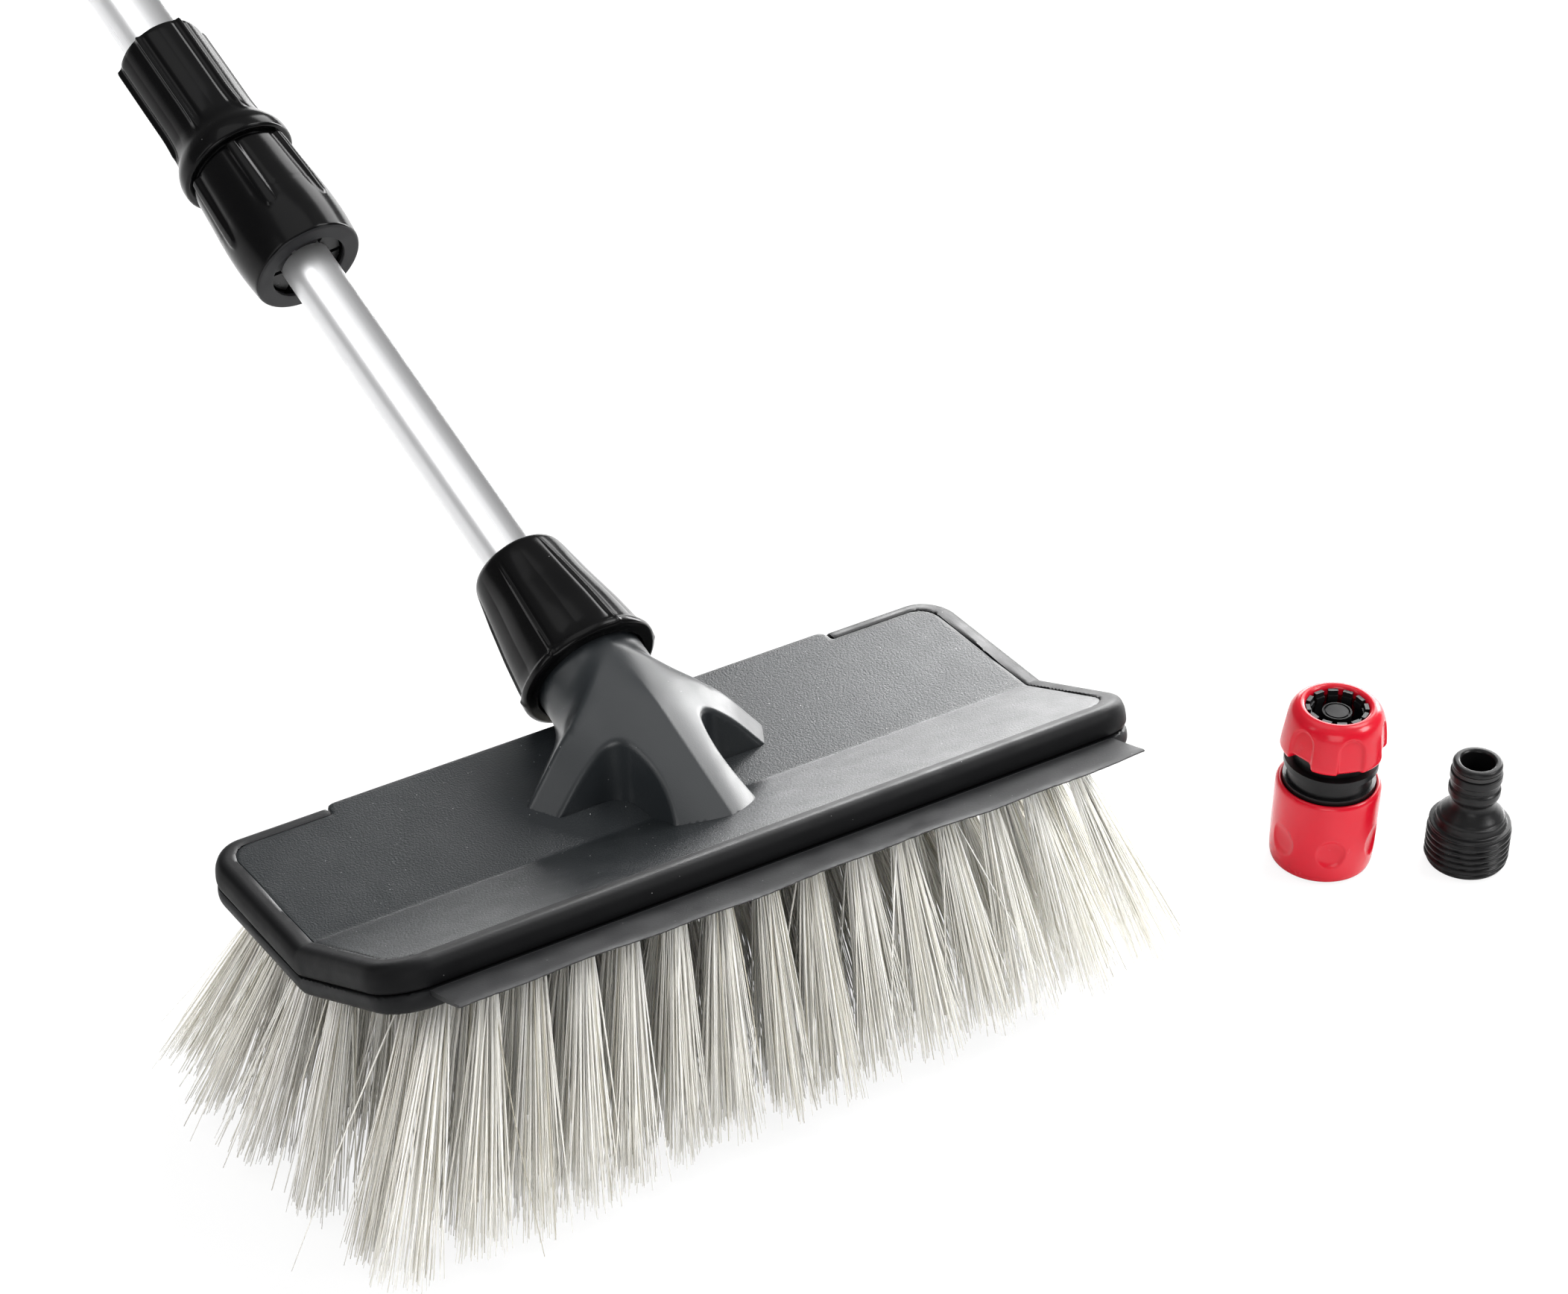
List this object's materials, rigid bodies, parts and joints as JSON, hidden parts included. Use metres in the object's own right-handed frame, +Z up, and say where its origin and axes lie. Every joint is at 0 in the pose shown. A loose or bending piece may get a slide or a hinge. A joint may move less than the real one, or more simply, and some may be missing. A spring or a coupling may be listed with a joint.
{
  "type": "water fed window cleaning pole system",
  "caption": "Bent washing brush with a squeegee blade on a telescopic aluminium water pole with twist lock, plus a loose hose connector and a threaded tap adaptor.",
  "frame": {"origin": "on the floor at the bristle tips, straight below the point where the pole axis meets the brush block's top plane", "axes": "+Z up, +X along the brush, +Y towards the pole"},
  "size_m": [0.4249, 0.9649, 0.392],
  "materials": {
    "block_plastic": "satin moulded, dark slate grey",
    "black_rubber": "matte moulded rubber",
    "bristle_white": "loose flagged filaments, off white",
    "black_gloss": "polished black moulding",
    "black_satin": "satin black moulding",
    "tube_aluminium": "satin anodised, fine draw lines",
    "white_plastic": "natural white acetal",
    "red_gloss": "gloss red moulding",
    "seal_rubber": "soft black seal rubber",
    "grip_rubber": "soft matte grip rubber",
    "spring_steel": "drawn wire"
  },
  "bodies": {
    "head": {"brush_block": "block_plastic", "tuft_board": "black_satin", "board_gasket": "seal_rubber", "bumper": "black_rubber", "squeegee_blade": "black_rubber", "socket_tower": "block_plastic", "front_bristles": "bristle_white", "main_bristles": "bristle_white", "union_washer": "seal_rubber"},
    "inner_pole": {"tube_ferrule": "black_satin", "inner_tube": "tube_aluminium", "guide_bush": "white_plastic", "guide_seals": "seal_rubber"},
    "nut_carrier": {"thrust_ring": "white_plastic"},
    "union_nut": {"union_nut": "black_gloss"},
    "outer_pole": {"outer_tube": "tube_aluminium", "lock_collar": "black_gloss", "hand_grip": "grip_rubber", "hose_inlet": "black_satin", "inlet_seal": "seal_rubber", "inlet_washer": "seal_rubber"},
    "lock_collet": {"lock_collet": "black_satin"},
    "twist_nut": {"twist_nut": "black_gloss"},
    "hose_nut": {"hose_nut": "red_gloss"},
    "hose_collet": {"hose_collet": "white_plastic"},
    "connector": {"connector_core": "black_satin", "connector_seal": "seal_rubber", "connector_claws": "black_satin", "plunger_spring": "spring_steel"},
    "release_sleeve": {"release_sleeve": "red_gloss"},
    "stop_plunger": {"stop_plunger": "black_satin"},
    "adaptor": {"threaded_adaptor": "black_satin", "adaptor_washer": "seal_rubber", "nipple_ring": "seal_rubber"}
  },
  "joints": [
    {"name": "head_swivel", "type": "hinge", "parent": "head", "child": "inner_pole", "pos_m": [0, 0.05683, 0.10054], "axis": [0, 0.9472, 0.3206], "continuous": true},
    {"name": "pole_extend", "type": "slide", "parent": "inner_pole", "child": "outer_pole", "axis": [0, 0.9472, 0.3206], "range_m": [-0.1, 0.25]},
    {"name": "union_nut_travel", "type": "slide", "parent": "head", "child": "nut_carrier", "axis": [0, 0.9472, 0.3206], "range_m": [0, 0.012]},
    {"name": "union_nut_turn", "type": "hinge", "parent": "nut_carrier", "child": "union_nut", "pos_m": [0, 0.05683, 0.10054], "axis": [0, 0.9472, 0.3206], "range_deg": [0, 1440.1]},
    {"name": "lock_travel", "type": "slide", "parent": "outer_pole", "child": "lock_collet", "axis": [0, -0.9472, -0.3206], "range_m": [0, 0.0015]},
    {"name": "lock_turn", "type": "hinge", "parent": "lock_collet", "child": "twist_nut", "pos_m": [0, 0.23207, 0.15985], "axis": [0, -0.9472, -0.3206], "range_deg": [0, 180.1]},
    {"name": "connector_lift", "type": "slide", "parent": "head", "child": "hose_nut", "axis": [0, 0, 1], "range_m": [0, 0.05]},
    {"name": "hose_nut_turn", "type": "hinge", "parent": "hose_nut", "child": "hose_collet", "pos_m": [0.2234, -0.0433, 0.012], "axis": [0, 0, 1], "range_deg": [0, 720.1]},
    {"name": "core_rise", "type": "slide", "parent": "hose_collet", "child": "connector", "axis": [0, 0, 1], "range_m": [0, 0.006]},
    {"name": "sleeve_pull", "type": "slide", "parent": "connector", "child": "release_sleeve", "axis": [0, 0, -1], "range_m": [0, 0.0035], "stiffness_N_per_m": 300, "springref_m": -0.001},
    {"name": "plunger_press", "type": "slide", "parent": "connector", "child": "stop_plunger", "axis": [0, 0, -1], "range_m": [0, 0.003], "stiffness_N_per_m": 400, "springref_m": -0.002, "deforming": ["plunger_spring"]},
    {"name": "adaptor_lift", "type": "slide", "parent": "head", "child": "adaptor", "axis": [0, 0, 1], "range_m": [0, 0.05]}
  ],
  "couplings": [
    {"joint": "union_nut_turn", "follows": "union_nut_travel", "rad_per_m": 2094.4},
    {"joint": "lock_turn", "follows": "lock_travel", "rad_per_m": 2094.4},
    {"joint": "hose_nut_turn", "follows": "core_rise", "rad_per_m": 2094.4}
  ]
}
